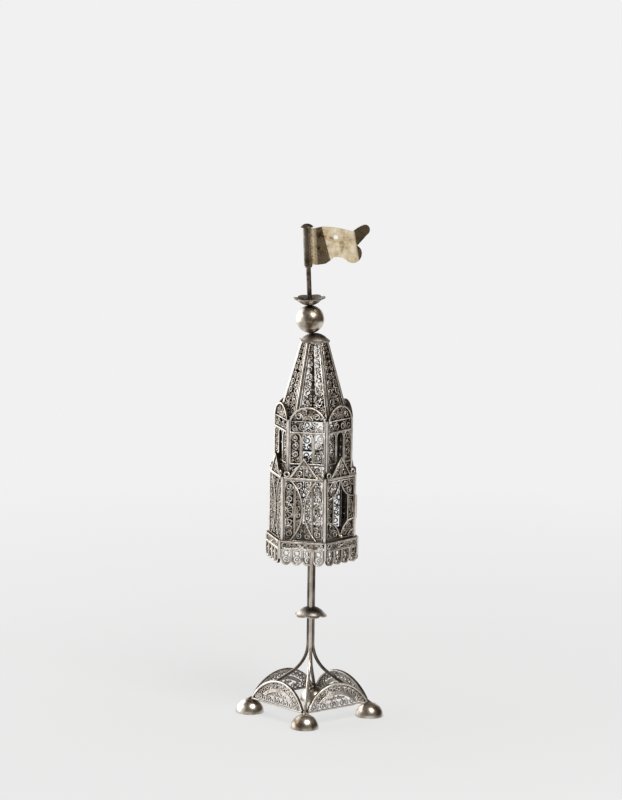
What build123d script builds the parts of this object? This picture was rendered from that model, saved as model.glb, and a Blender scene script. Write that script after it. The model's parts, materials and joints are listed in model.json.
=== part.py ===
from build123d import *
from math import atan2, cos, degrees, hypot, radians, sin, sqrt, tan
import os

# Silver filigree spice tower, in millimetres, +Z up, origin on the floor under the middle of the base.
# The door of the tower looks towards -Y.

# Wires and sheets
sheet = 0.8
frame_wire = 0.8
scroll_wire = 0.45
solder_gap = 0.05

# Domed feet under the corners of the square base
foot_spacing = 37.4
foot_radius = 6.2
foot_wall = 0.6
foot_seat = 1.3

# Arched filigree panels round the base, leaning in
base_rise = 11.2
base_end_rise = 1.5
base_lean = 8.0
base_corner_gap = 1.75
base_band = 1.5
base_rings = 11
base_scrolls = 10

# Four bent rods that run from the feet into one bundled stem
rod_diameter = 1.45
close_gap = 0.02
leg_slope = 35.0
leg_bend = 16.5
stand_height = 80.4

# Petalled pieces: the knop on the stem, the cap on the spire and the calyx under the mast
petals = 6
petal_sheet = 0.5
petal_crown = 0.78
petal_lobe = 0.46
knop_radius = 7.2
knop_depth = 3.7
knop_height = 48.8
cap_radius = 6.9
cap_depth = 3.0
calyx_radius = 7.0
calyx_bowl = 6.0
calyx_flare = 5.0

# Tower floor and the skirt of scroll bands and loops that hangs round it
tower_turn = 6.0
skirt_radius = 20.5
skirt_post = 1.0
skirt_band = 4.1
skirt_lip = 0.2
fringe_loops = 4
fringe_length = 6.5
floor_sheet = 0.8

# Lower storey: six posts, five filigree walls and a door
wall_radius = 19.0
wall_post = 1.2
wall_height = 27.5
wall_arc_top = 5.6
wall_arc_waist = 0.45
wall_fan = 3.6
door_gap = 0.25
door_foot_gap = 0.6
door_head_gap = 0.3
door_light_width = 8.4
door_fan = 3.3
barrel_diameter = 1.3
barrel_gap = 0.1
pin_diameter = 0.7
pin_clearance = 0.05
knuckle_length = 2.4
knuckle_gap = 0.1
knob_diameter = 1.7

# Gables over the lower walls
gable_rail = 1.0
gable_width = 12.8
gable_rise = 9.2
gable_ring = 2.9

# Gallery: solid plinth, three arched lights, frieze and lunette on every side
gallery_turn = 9.6
gallery_radius = 17.0
gallery_post = 1.0
plinth_height = 6.2
light_height = 13.2
frieze_height = 5.8
lunette_rise = 6.2
mullion = 1.1
terrace_sheet = 0.8
terrace_width = 2.6
stop_width = 5.0
stop_drop = 1.2
stop_gap = 0.3

# Spire of six ribs and six filigree panels on the roof plate
spire_turn = 16.5
spire_radius = 14.6
spire_top_radius = 5.4
spire_height = 33.0
spire_rib = 1.1
roof_sheet = 0.8

# Mast through the spire, leaning a little, with socket, ball, calyx, flag and end cap
mast_lean = 2.8
mast_lean_towards = 140.0
mast_diameter = 2.1
socket_diameter = 4.2
socket_height = 6.6
ball_diameter = 12.3
flag_height = 66.2
flag_tube = 17.0
flag_tube_diameter = 3.8
flag_sheet = 0.5
flag_towards = -40.0
flag_hole = 2.0
flag_clearance = 0.05
flag_play = 0.1
collar_diameter = 3.2
collar_height = 0.6
button_diameter = 5.7
button_height = 1.5

# Heights that follow from the sizes above
foot_top = sqrt(foot_radius ** 2 - foot_seat ** 2)
floor_top = stand_height + floor_sheet
rail_level = floor_top + wall_height
terrace_top = rail_level + gable_rail
roof_top = terrace_top + plinth_height + light_height + frieze_height
spire_top = roof_top + spire_height

nodes = {}


# Plane of one side of a hexagon, seen from outside: x runs right, y runs up and z points out
def side_plane(radius, turn, side, height=0.0):
    angle = radians(-90 + turn + 60 * side)
    reach = radius * cos(radians(30))
    origin = (reach * cos(angle), reach * sin(angle), height)
    return Plane(origin=origin, x_dir=(-sin(angle), cos(angle), 0), z_dir=(cos(angle), sin(angle), 0))


# Width of the panel between two round posts of a hexagon
def panel_width(radius, post):
    return radius - post - 2 * solder_gap


# Round wires standing on the corners of a hexagon
def corner_posts(radius, turn, diameter, bottom, height):
    posts = []
    for corner in range(6):
        angle = radians(-60 + turn + 60 * corner)
        place = Pos(radius * cos(angle), radius * sin(angle), bottom + height / 2)
        posts.append(place * Cylinder(diameter / 2, height))
    return Compound(posts)


# Hexagonal plate that fits inside a ring of panels, notched for the posts on its corners
def plate_inside(radius, turn, post, thickness, bottom):
    reach = radius * cos(radians(30)) - sheet / 2 - solder_gap
    outline = RegularPolygon(reach / cos(radians(30)), 6, rotation=turn)
    body = Pos(0, 0, bottom) * extrude(outline, thickness)
    return body - corner_posts(radius, turn, post + 2 * solder_gap, bottom - thickness, 3 * thickness)


def ring(x, y, radius, width=scroll_wire):
    return Pos(x, y) * (Circle(radius + width / 2) - Circle(radius - width / 2))


def bar(x1, y1, x2, y2, width=scroll_wire):
    return trace(Line((x1, y1), (x2, y2)), width)


# Scroll of three arcs that winds in from its outer end, the sign of hand giving the sense
def volute(x, y, radius, start, hand, width=scroll_wire):
    outer = []
    inner = []
    angle = start
    previous = radius
    for share, sweep in ((1.0, 215), (0.64, 180), (0.36, 160)):
        size = radius * share
        x += (previous - size) * cos(radians(angle))
        y += (previous - size) * sin(radians(angle))
        outer.append(CenterArc((x, y), size + width / 2, angle, hand * sweep))
        inner.append(CenterArc((x, y), size - width / 2, angle, hand * sweep))
        angle += hand * sweep
        previous = size
    ends = [Line(outer[0] @ 0, inner[0] @ 0), Line(outer[-1] @ 1, inner[-1] @ 1)]
    return make_face(outer + inner + ends)


# Two scrolls as mirror images about the line x = 0
def volute_pair(x, y, radius, start, hand, width=scroll_wire):
    left = volute(-x, y, radius, start, hand, width)
    right = volute(x, y, radius, 180 - start, -hand, width)
    return [left, right]


# Frame of a panel with its wires inside, all in one sheet
def filigree(outline, opening, wires):
    inside = (Sketch() + wires) & outline
    return outline - opening + inside


# Sheet of petals: a thick profile turned about the axis and cut to a scalloped edge
def petal_piece(path, radius, bore):
    profile = Plane.XZ * trace(path, petal_sheet)
    shell = revolve(profile, Axis.Z)
    lobe = radius * petal_lobe
    lobes = [loc * Circle(lobe) for loc in PolarLocations(radius - lobe, petals)]
    outline = Sketch() + lobes + [Circle(radius - lobe)]
    scalloped = shell & extrude(outline, 4 * radius, both=True)
    return scalloped - Cylinder(bore, 8 * radius)


# Turn of the petal curve and the radii of its crown and its flare
def petal_curve(radius, depth):
    turn = 2 * atan2(depth, radius)
    bend = radius / sin(turn)
    return turn, bend * petal_crown, bend * (1 - petal_crown)


# How far the petal curve has come down at some distance from the axis
def petal_drop(radius, depth, reach):
    turn, crown, flare = petal_curve(radius, depth)
    if reach < crown * sin(turn):
        return crown - sqrt(crown ** 2 - reach ** 2)
    return depth - flare + sqrt(flare ** 2 - (radius - reach) ** 2)


# Petals that hang like an umbrella and flare at the rim, the crown of the sheet at the origin
def petal_dome(radius, depth, bore):
    turn, crown, flare = petal_curve(radius, depth)
    turn = degrees(turn)
    level = -petal_sheet / 2
    top = CenterArc((0, level - crown), crown, 89, 1 - turn)
    rim = CenterArc((radius, level - depth + flare), flare, 270 - turn, turn + 10)
    return petal_piece(top + rim, radius, bore)


def make_feet():
    dome = Sphere(foot_radius) - Sphere(foot_radius - foot_wall)
    dome = split(dome, Plane.XY, keep=Keep.TOP)
    foot = split(dome, Plane.XY.offset(foot_top), keep=Keep.BOTTOM)
    seat = Pos(0, 0, foot_top - foot_wall / 2) * Cylinder(foot_seat, foot_wall)
    foot = foot + seat
    half = foot_spacing / 2
    for name, x, y in (("front_left", -half, -half), ("front_right", half, -half),
                       ("back_right", half, half), ("back_left", -half, half)):
        nodes["foot_" + name] = Pos(x, y, 0) * foot


def make_base_panels():
    half = foot_spacing / 2 - base_corner_gap
    climb = base_rise - base_end_rise
    bend = (half ** 2 + climb ** 2) / (2 * climb)
    centre = base_rise - bend

    # Region under a circle about the arch centre, above a level and inside the panel ends
    def under_arch(radius, level, inset):
        width = 2 * (half - inset)
        block = Pos(0, level + base_rise / 2) * Rectangle(width, base_rise)
        return block & (Pos(0, centre) * Circle(radius))

    outline = under_arch(bend, 0, 0)
    opening = under_arch(bend - frame_wire, frame_wire, frame_wire)
    ring_size = (2 * half - 2 * frame_wire) / base_rings / 2
    ring_level = frame_wire + ring_size
    row_top = ring_level + ring_size
    wires = [bar(-half, row_top, half, row_top)]
    for i in range(base_rings):
        x = (2 * i + 1 - base_rings) * ring_size
        wires.append(ring(x, ring_level, ring_size))
    band = bend - frame_wire - 2.6
    wires.append(under_arch(band, row_top, 0) - under_arch(band - base_band, row_top, 0))
    for i in range(base_scrolls):
        turn = 90 + (i - (base_scrolls - 1) / 2) * 7.1
        reach = bend - frame_wire - 1.3
        x = reach * cos(radians(turn))
        y = centre + reach * sin(radians(turn))
        hand = 1 if x < 0 else -1
        wires.append(volute(x, y, 1.45, turn - 90 * hand, hand))
    face = filigree(outline, opening, wires)
    panel = extrude(face, sheet / 2, both=True)
    names = ("front", "right", "back", "left")
    for side in range(4):
        angle = radians(-90 + 90 * side)
        level = cos(radians(base_lean))
        out = (cos(angle) * level, sin(angle) * level, sin(radians(base_lean)))
        lift = foot_top + sheet / 2 * sin(radians(base_lean))
        origin = (foot_spacing / 2 * cos(angle), foot_spacing / 2 * sin(angle), lift)
        place = Plane(origin=origin, x_dir=(-sin(angle), cos(angle), 0), z_dir=out)
        nodes["base_panel_" + names[side]] = place * panel


def make_legs():
    bundle = (rod_diameter + close_gap) / sqrt(2)
    corner = foot_spacing / 2 * sqrt(2)
    slope = tan(radians(leg_slope))
    overrun = 2.0
    knee = foot_top + (corner - bundle) * slope
    path = FilletPolyline((bundle, 0, stand_height), (bundle, 0, knee),
                          (corner + overrun, 0, foot_top - overrun * slope), radius=leg_bend)
    section = Plane(origin=path @ 0, z_dir=path % 0) * Circle(rod_diameter / 2)
    rod = sweep(section, path)
    rod = split(rod, Plane.XY.offset(foot_top), keep=Keep.TOP)
    for i, name in enumerate(("back_right", "back_left", "front_left", "front_right")):
        nodes["leg_rod_" + name] = Rot(0, 0, 45 + 90 * i) * rod


def make_knop():
    bundle = (rod_diameter + close_gap) / sqrt(2) + rod_diameter / 2
    nodes["stem_knop"] = Pos(0, 0, knop_height) * petal_dome(knop_radius, knop_depth, bundle + solder_gap)


def make_skirt():
    nodes["floor_plate"] = plate_inside(skirt_radius, tower_turn, skirt_post, floor_sheet, stand_height)
    width = panel_width(skirt_radius, skirt_post)
    band_bottom = floor_top + skirt_lip - skirt_band
    outline = Pos(0, skirt_band / 2) * Rectangle(width, skirt_band)
    gap = skirt_band - 2 * frame_wire
    opening = Pos(0, skirt_band / 2) * SlotOverall(width - 2 * frame_wire, gap)
    curl = gap / 2 + scroll_wire / 4
    middle = skirt_band / 2
    wires = volute_pair(width / 8, middle, curl, 90, -1)
    wires += volute_pair(3 * width / 8, middle, curl, 270, 1)
    wires += volute_pair(width / 4, middle, curl, 90, 1)
    face = filigree(outline, opening, wires)
    pitch = width / fringe_loops
    bend = pitch / 2
    straight = fringe_length - bend
    loops = []
    for i in range(fringe_loops):
        x = (i - (fringe_loops - 1) / 2) * pitch
        loop = Pos(x, -straight / 2) * Rectangle(pitch, straight) + Pos(x, -straight) * Circle(bend)
        inner = bend - frame_wire * 0.8
        hole = Pos(x, -straight / 2) * Rectangle(2 * inner, straight) + Pos(x, -straight) * Circle(inner)
        small = straight / 4
        loops.append(loop - hole)
        loops.append(ring(x, -straight, inner - scroll_wire / 4, scroll_wire))
        loops.append(ring(x, -small * 0.9, small))
    face = face + loops
    panel = extrude(face, sheet / 2, both=True)
    for side in range(6):
        place = side_plane(skirt_radius, tower_turn, side, band_bottom)
        nodes["skirt_panel_%d" % (side + 1)] = place * panel
    tail = fringe_length * 0.6
    wires = corner_posts(skirt_radius, tower_turn, skirt_post, band_bottom - tail, skirt_band + tail)
    nodes["skirt_posts"] = wires


def make_walls():
    width = panel_width(wall_radius, wall_post)
    half = width / 2
    middle = wall_height / 2
    outline = Pos(0, middle) * Rectangle(width, wall_height)
    opening = Pos(0, middle) * Rectangle(width - 2 * frame_wire, wall_height - 2 * frame_wire)
    wires = []
    for hand in (-1, 1):
        arc = ThreePointArc((hand * wall_arc_top, 0), (hand * wall_arc_waist, middle),
                            (hand * wall_arc_top, wall_height))
        wires.append(trace(arc, frame_wire * 0.8))
        fan_x = hand * (half - frame_wire)
        wires.append(ring(fan_x, middle, wall_fan))
        for spoke in range(-2, 3):
            turn = radians(32 * spoke)
            tip_x = fan_x - hand * wall_fan * cos(turn)
            wires.append(bar(fan_x, middle, tip_x, middle + wall_fan * sin(turn)))
    for sense in (-1, 1):
        level = middle + sense * 6.1
        wires += volute_pair(half - 2.75, level, 2.15, -90 * sense, -sense)
        level = middle + sense * 10.4
        wires += volute_pair(half - 2.3, level, 2.1, -90 * sense, -sense)
        wires += volute_pair(1.9, middle + sense * 10.9, 1.95, -90 * sense, sense)
        wires.append(ring(0, middle + sense * 7.2, 1.6))
    wires.append(bar(0, frame_wire, 0, wall_height - frame_wire))
    face = filigree(outline, opening, wires)
    panel = extrude(face, sheet / 2, both=True)
    for side in range(1, 6):
        place = side_plane(wall_radius, tower_turn, side, floor_top)
        nodes["wall_panel_%d" % side] = place * panel
    rise = wall_height + gable_rail
    nodes["wall_posts"] = corner_posts(wall_radius, tower_turn, wall_post, floor_top, rise)


# Hinge line of the door in the plane of its wall: the barrel clears the leaf and lies on the corner post
hinge_out = sheet / 2 + barrel_diameter / 2 + barrel_gap
hinge_reach = (barrel_diameter + wall_post) / 2 + close_gap
hinge_x = wall_radius / 2 - sqrt(hinge_reach ** 2 - hinge_out ** 2)


def make_door():
    half = (wall_radius - wall_post) / 2 - door_gap
    bottom = floor_top + door_foot_gap
    height = wall_height - door_foot_gap - door_head_gap
    middle = height / 2
    plane = side_plane(wall_radius, tower_turn, 0, bottom)
    outline = Pos(0, middle) * Rectangle(2 * half, height)
    opening = Pos(0, middle) * Rectangle(2 * half - 2 * frame_wire, height - 2 * frame_wire)
    corner = half - frame_wire / 2
    bar_x = door_light_width / 2 + frame_wire / 2
    bar_foot = sqrt(corner ** 2 - (half - bar_x) ** 2)
    strip = half - frame_wire - bar_x - frame_wire / 2
    strip_x = half - frame_wire - strip / 2
    scroll = (corner - door_fan) / 2 - scroll_wire / 2
    wires = []
    for hand in (-1, 1):
        # A quarter fan in every corner, with a scroll and two rings round it
        for level, up in ((0, 1), (height, -1)):
            wires.append(ring(hand * half, level, corner, frame_wire * 0.8))
            wires.append(ring(hand * half, level, door_fan))
            for turn, size in ((14, scroll / 2), (45, scroll), (76, scroll / 2)):
                reach = (corner + door_fan) / 2
                x = hand * (half - reach * cos(radians(turn)))
                wires.append(ring(x, level + up * reach * sin(radians(turn)), size))
                tip_x = hand * (half - door_fan * cos(radians(turn)))
                wires.append(bar(hand * half, level, tip_x, level + up * door_fan * sin(radians(turn))))
        # Upright bars beside the open light, and a column of rings outside them
        wires.append(bar(hand * bar_x, bar_foot, hand * bar_x, height - bar_foot, frame_wire))
        for row in (-1, 0, 1):
            wires.append(ring(hand * strip_x, middle + row * strip, strip / 2))
    face = filigree(outline, opening, wires)
    leaf = extrude(face, sheet / 2, both=True)

    # The knuckle of the leaf lies between the two knuckles of the post
    length = 2 * knuckle_length
    bore = pin_diameter / 2 + pin_clearance
    upright = Rot(90, 0, 0)
    barrel = Pos(hinge_x, middle, hinge_out) * upright * Cylinder(barrel_diameter / 2, length)
    hole = Pos(hinge_x, middle, hinge_out) * upright * Cylinder(bore, 2 * length)
    strap_right = hinge_x - 0.15
    strap_left = half - frame_wire
    strap_low = sheet / 4
    strap = Box(strap_right - strap_left, length, hinge_out - strap_low)
    strap = Pos((strap_left + strap_right) / 2, middle, (hinge_out + strap_low) / 2) * strap
    nodes["door_leaf"] = plane * (leaf + strap + barrel - hole)

    offset = length / 2 + knuckle_gap + knuckle_length / 2
    knuckle = Cylinder(barrel_diameter / 2, knuckle_length) - Cylinder(bore, 2 * knuckle_length)
    knuckles = []
    for sense in (-1, 1):
        knuckles.append(plane * Pos(hinge_x, middle + sense * offset, hinge_out) * upright * knuckle)
    nodes["door_knuckles"] = Compound(knuckles)

    span = length + 2 * knuckle_gap + 2 * knuckle_length
    pin = upright * Cylinder(pin_diameter / 2, span)
    head = Pos(0, span / 2 + 0.2, 0) * upright * Cylinder(barrel_diameter * 0.4, 0.4)
    nodes["door_pin"] = plane * Pos(hinge_x, middle, hinge_out) * (pin + head)

    bead = Pos(0, frame_wire / 2, sheet / 2 + knob_diameter * 0.35) * Sphere(knob_diameter / 2)
    bead = split(bead, Plane.XY.offset(sheet / 2), keep=Keep.TOP)
    nodes["door_knob"] = plane * Pos(0, frame_wire, 0) * bead


def make_gables():
    width = panel_width(wall_radius, wall_post)
    half = gable_width / 2
    rail = Pos(0, gable_rail / 2) * Rectangle(width, gable_rail)
    slope = hypot(half, gable_rise)
    inset_x = frame_wire * (slope + half) / gable_rise
    inset_y = frame_wire * slope / half
    peak = gable_rail + gable_rise
    outline = make_face(Polyline((-half, gable_rail), (half, gable_rail), (0, peak), close=True))
    inner = half - inset_x
    opening = make_face(Polyline((-inner, gable_rail), (inner, gable_rail), (0, peak - inset_y), close=True))
    wires = [bar(0, gable_rail, 0, peak - inset_y)]
    wires += volute_pair(2.0, gable_rail + 1.75, 1.7, 270, -1)
    wires += volute_pair(1.05, gable_rail + 4.5, 0.95, 270, -1)
    face = filigree(outline, opening, wires) + rail
    ring_x = (half + width / 2) / 2
    ring_radius = gable_ring / 2 - frame_wire / 2
    for hand in (-1, 1):
        face = face + ring(hand * ring_x, gable_rail + gable_ring / 2 - 0.15, ring_radius, frame_wire)
    panel = extrude(face, sheet / 2, both=True)
    for side in range(6):
        place = side_plane(wall_radius, tower_turn, side, rail_level)
        nodes["gable_%d" % (side + 1)] = place * panel

    # Ring plate that carries the gallery, with a tongue behind the head of the door as its stop
    bottom = terrace_top - terrace_sheet
    terrace = plate_inside(wall_radius, tower_turn, wall_post, terrace_sheet, bottom)
    hole_radius = wall_radius - (sheet / 2 + terrace_width) / cos(radians(30))
    hole = extrude(RegularPolygon(hole_radius, 6, rotation=tower_turn), 2 * terrace_top)
    head = floor_top + wall_height - door_head_gap
    drop = bottom - head + stop_drop
    back = sheet / 2 + stop_gap
    place = side_plane(wall_radius, tower_turn, 0, bottom)
    tongue = place * Pos(0, -drop / 2, -back - sheet / 2) * Box(stop_width, drop, sheet)
    nodes["terrace"] = terrace - hole + tongue


def make_gallery():
    width = panel_width(gallery_radius, gallery_post)
    half = width / 2
    height = plinth_height + light_height + frieze_height
    lunette_bend = (half ** 2 + lunette_rise ** 2) / (2 * lunette_rise)
    lunette_centre = height + lunette_rise - lunette_bend
    above = Pos(0, height + lunette_rise / 2) * Rectangle(width, lunette_rise)
    lunette = above & (Pos(0, lunette_centre) * Circle(lunette_bend))
    outline = Pos(0, height / 2) * Rectangle(width, height) + lunette
    light = (width - 2 * frame_wire - 2 * mullion) / 3
    lights = []
    for i in (-1, 0, 1):
        x = i * (light + mullion)
        spring = plinth_height + light_height - light / 2
        arch = Pos(x, (plinth_height + spring) / 2) * Rectangle(light, spring - plinth_height)
        lights.append(arch + Pos(x, spring) * Circle(light / 2))
    frieze_bottom = plinth_height + light_height + frame_wire
    frieze_gap = frieze_height - 2 * frame_wire
    frieze = Pos(0, frieze_bottom + frieze_gap / 2) * Rectangle(width - 2 * frame_wire, frieze_gap)
    arch_inside = above & (Pos(0, lunette_centre) * Circle(lunette_bend - frame_wire))
    opening = Sketch() + lights + [frieze, arch_inside]
    wires = []
    curl = light / 2 - scroll_wire / 4
    side_x = light + mullion
    for i in range(3):
        level = plinth_height + curl + i * 2 * curl
        wires += volute_pair(side_x, level, curl, 270, -1 if i % 2 else 1)
    level = frieze_bottom + frieze_gap / 2
    big = frieze_gap / 2
    wires += volute_pair(big * 0.98, level, big, 270, 1)
    wires += volute_pair(3 * big * 0.97, level, big, 90, 1)
    wires.append(ring(0, height, 2.2))
    wires.append(bar(0, height, 0, height + lunette_rise))
    wires += volute_pair(3.9, height + 1.65, 1.6, 270, -1)
    face = filigree(outline, opening, wires)
    panel = extrude(face, sheet / 2, both=True)
    for side in range(6):
        place = side_plane(gallery_radius, gallery_turn, side, terrace_top)
        nodes["gallery_panel_%d" % (side + 1)] = place * panel
    nodes["gallery_posts"] = corner_posts(gallery_radius, gallery_turn, gallery_post, terrace_top, height)
    level = roof_top - roof_sheet
    nodes["roof_plate"] = plate_inside(gallery_radius, gallery_turn, gallery_post, roof_sheet, level)


def make_spire():
    drop_in = spire_radius - spire_top_radius
    ribs = []
    for corner in range(6):
        angle = radians(-60 + spire_turn + 60 * corner)
        foot = Vector(spire_radius * cos(angle), spire_radius * sin(angle), roof_top)
        head = Vector(spire_top_radius * cos(angle), spire_top_radius * sin(angle), spire_top)
        run = (head - foot).normalized()
        start = foot - run * spire_rib
        length = (head - foot).length + 2 * spire_rib
        rib = Cylinder(spire_rib / 2, length, align=(Align.CENTER, Align.CENTER, Align.MIN))
        rib = Plane(origin=start, z_dir=run) * rib
        rib = split(rib, Plane.XY.offset(roof_top), keep=Keep.TOP)
        ribs.append(split(rib, Plane.XY.offset(spire_top), keep=Keep.BOTTOM))
    nodes["spire_ribs"] = Compound(ribs)

    # One panel is a trapezium in the slope of the spire
    inward = drop_in * cos(radians(30))
    slant = hypot(inward, spire_height)
    edge = hypot(drop_in / 2, slant)
    clear = (spire_rib / 2 + solder_gap) * edge / slant
    low = spire_radius / 2 - clear
    high = spire_top_radius / 2 - clear
    lift = sheet / 2 * inward / spire_height + solder_gap
    narrowing = (low - high) / slant

    def trapezium(inset, bottom, top):
        side = inset * edge / slant
        foot = low - narrowing * bottom - side
        head = low - narrowing * top - side
        return make_face(Polyline((-foot, bottom), (foot, bottom), (head, top), (-head, top), close=True))

    outline = trapezium(0, lift, slant - lift)
    opening = trapezium(frame_wire, lift + frame_wire, slant - lift - frame_wire)
    wires = []
    level = lift + frame_wire
    row = 0
    while level < slant - 4.5:
        room = low - narrowing * level - frame_wire
        curl = room / 2 / (1 + narrowing / 2)
        wires += volute_pair(curl, level + curl, curl, 270, 1 if row % 2 else -1)
        if curl > 1.2:
            wires.append(ring(0, level + 2 * curl, curl * 0.42))
        level += 2 * curl
        row += 1
    face = filigree(outline, opening, wires)
    panel = extrude(face, sheet / 2, both=True)
    for side in range(6):
        angle = radians(-90 + spire_turn + 60 * side)
        reach = spire_radius * cos(radians(30))
        lean = (spire_height / slant, inward / slant)
        out = (cos(angle) * lean[0], sin(angle) * lean[0], lean[1])
        origin = (reach * cos(angle), reach * sin(angle), roof_top)
        place = Plane(origin=origin, x_dir=(-sin(angle), cos(angle), 0), z_dir=out)
        nodes["spire_panel_%d" % (side + 1)] = place * panel


# Frame of the leaning mast: z along the mast from the roof plate, x towards the flag
lean = radians(mast_lean)
lean_way = radians(mast_lean_towards)
mast_up = (sin(lean) * cos(lean_way), sin(lean) * sin(lean_way), cos(lean))
flag_way = (cos(radians(flag_towards)), sin(radians(flag_towards)), 0)
mast_plane = Plane(origin=(0, 0, roof_top), x_dir=flag_way, z_dir=mast_up)

# The cap rests on the outer heads of the ribs, so its crown follows from its curve
cap_seat = spire_top_radius + spire_rib / 2
cap_crown = spire_top + petal_drop(cap_radius, cap_depth, cap_seat) + petal_sheet + solder_gap
mast_radius = mast_diameter / 2
ball_level = cap_crown - roof_top + ball_diameter / 2 + solder_gap
calyx_level = ball_level + ball_diameter / 2 + solder_gap
button_level = flag_height + flag_tube + 2 * flag_play


def make_finial():
    hole = mast_plane * Cylinder(mast_radius + solder_gap, 400)
    cap = Pos(0, 0, cap_crown) * petal_dome(cap_radius, cap_depth, 0.2)
    nodes["spire_cap"] = cap - hole

    socket = Cone(socket_diameter / 2, socket_diameter * 0.36, socket_height,
                  align=(Align.CENTER, Align.CENTER, Align.MIN))
    skirt = Pos(0, 0, -1) * Cylinder(socket_diameter / 2, 1, align=(Align.CENTER, Align.CENTER, Align.MIN))
    socket = split(mast_plane * (socket + skirt), Plane.XY.offset(roof_top), keep=Keep.TOP)
    nodes["mast_socket"] = socket - hole

    ball = Pos(0, 0, ball_level) * Sphere(ball_diameter / 2)
    nodes["ball"] = mast_plane * ball - hole

    bowl = JernArc((mast_radius, 0), (1, 0.12), calyx_bowl, 38)
    flare = JernArc(bowl @ 1, bowl % 1, calyx_flare, -44)
    calyx = petal_piece(bowl + flare, calyx_radius, mast_radius + solder_gap)
    nodes["calyx"] = mast_plane * Pos(0, 0, calyx_level + petal_sheet / 2) * calyx

    foot = 0.2
    tip = button_level + button_height * 0.55
    shaft = Cylinder(mast_radius, tip - foot, align=(Align.CENTER, Align.CENTER, Align.MIN))
    shaft = Pos(0, 0, foot) * shaft
    collar = Pos(0, 0, flag_height - collar_height / 2) * Cylinder(collar_diameter / 2, collar_height)
    nodes["mast"] = mast_plane * (shaft + collar)

    dome_bend = (button_diameter ** 2 / 4 + button_height ** 2) / (2 * button_height)
    dome = Pos(0, 0, button_height - dome_bend) * Sphere(dome_bend)
    button = split(dome, Plane.XY, keep=Keep.TOP)
    socket_hole = Cylinder(mast_radius + close_gap, button_height * 1.14)
    nodes["flag_cap"] = mast_plane * Pos(0, 0, button_level) * (button - socket_hole)


# Flag of bent sheet: a wavy ruled sheet cut to a swallow-tailed outline and rolled round its tube
def make_flag():
    bore = mast_radius + flag_clearance
    tube = Cylinder(flag_tube_diameter / 2, flag_tube, align=(Align.CENTER, Align.CENTER, Align.MIN))
    root = (flag_tube_diameter / 2 + bore) / 2
    low_wave = FilletPolyline((root, 0), (3.6, -0.9), (10.3, 3.6), (22.0, -1.4), (29.0, 3.6), radius=1.2)
    high_wave = FilletPolyline((root, 0), (3.4, -0.8), (6.2, 1.5), (19.8, -2.6), (28.4, 4.4), radius=1.2)
    low = trace(low_wave, flag_sheet)
    high = Pos(0, 0, flag_tube + 1) * trace(high_wave, flag_sheet)
    wave = loft([low.face(), high.face()], ruled=True)
    outline = make_face([
        Line((root - 0.2, 0.6), (root - 0.2, 16.3)),
        ThreePointArc((root - 0.2, 16.3), (11.6, 16.5), (19.7, 14.8)),
        ThreePointArc((19.7, 14.8), (22.0, 16.1), (24.7, 16.9)),
        ThreePointArc((24.7, 16.9), (27.1, 15.7), (26.0, 12.3)),
        Line((26.0, 12.3), (21.6, 8.3)),
        ThreePointArc((21.6, 8.3), (23.5, 4.3), (21.5, 1.2)),
        ThreePointArc((21.5, 1.2), (19.1, 0.5), (16.7, 1.7)),
        ThreePointArc((16.7, 1.7), (14.2, 2.9), (11.4, 2.9)),
        ThreePointArc((11.4, 2.9), (9.6, 1.4), (7.6, 0.3)),
        ThreePointArc((7.6, 0.3), (5.0, 0.3), (root - 0.2, 0.6)),
    ])
    cutter = extrude(Plane.XZ * outline, 12, both=True)
    pierced = Pos(12.4, 0, 12.0) * Rot(90, 0, 0) * Cylinder(flag_hole / 2, 30)
    banner = (wave & cutter) - pierced
    flag = tube + banner - Cylinder(bore, 4 * flag_tube)
    nodes["flag"] = mast_plane * Pos(0, 0, flag_height + flag_play) * flag


make_feet()
make_base_panels()
make_legs()
make_knop()
make_skirt()
make_walls()
make_door()
make_gables()
make_gallery()
make_spire()
make_finial()
make_flag()

os.makedirs("parts", exist_ok=True)
for name, shape in nodes.items():
    export_step(shape, "parts/%s.step" % name)
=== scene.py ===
import bpy
import bmesh
import json
import math
import numpy as np
from mathutils import Matrix, Vector


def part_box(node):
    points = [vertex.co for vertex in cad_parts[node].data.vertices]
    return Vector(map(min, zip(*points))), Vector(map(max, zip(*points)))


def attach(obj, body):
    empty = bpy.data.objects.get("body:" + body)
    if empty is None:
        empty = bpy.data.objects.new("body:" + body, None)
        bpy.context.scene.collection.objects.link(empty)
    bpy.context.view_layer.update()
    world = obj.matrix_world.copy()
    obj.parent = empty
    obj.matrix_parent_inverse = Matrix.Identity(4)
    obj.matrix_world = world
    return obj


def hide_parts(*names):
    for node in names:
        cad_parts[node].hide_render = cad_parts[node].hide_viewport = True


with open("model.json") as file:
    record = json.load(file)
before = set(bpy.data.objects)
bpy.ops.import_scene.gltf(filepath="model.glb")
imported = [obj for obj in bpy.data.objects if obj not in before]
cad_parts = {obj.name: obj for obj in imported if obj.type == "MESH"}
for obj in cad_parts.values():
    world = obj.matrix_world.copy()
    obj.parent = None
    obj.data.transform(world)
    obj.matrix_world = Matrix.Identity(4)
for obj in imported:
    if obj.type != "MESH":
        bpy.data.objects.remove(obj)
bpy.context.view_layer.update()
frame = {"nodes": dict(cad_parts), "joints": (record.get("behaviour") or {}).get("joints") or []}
joints = {joint["name"]: joint for joint in frame["joints"]}
mm = 0.001


# sRGB hex to linear colour
def hexColour(text):
    parts = [int(text[i:i + 2], 16) / 255 for i in (1, 3, 5)]
    return [c / 12.92 if c <= 0.04045 else ((c + 0.055) / 1.055) ** 2.4 for c in parts] + [1.0]


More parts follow.
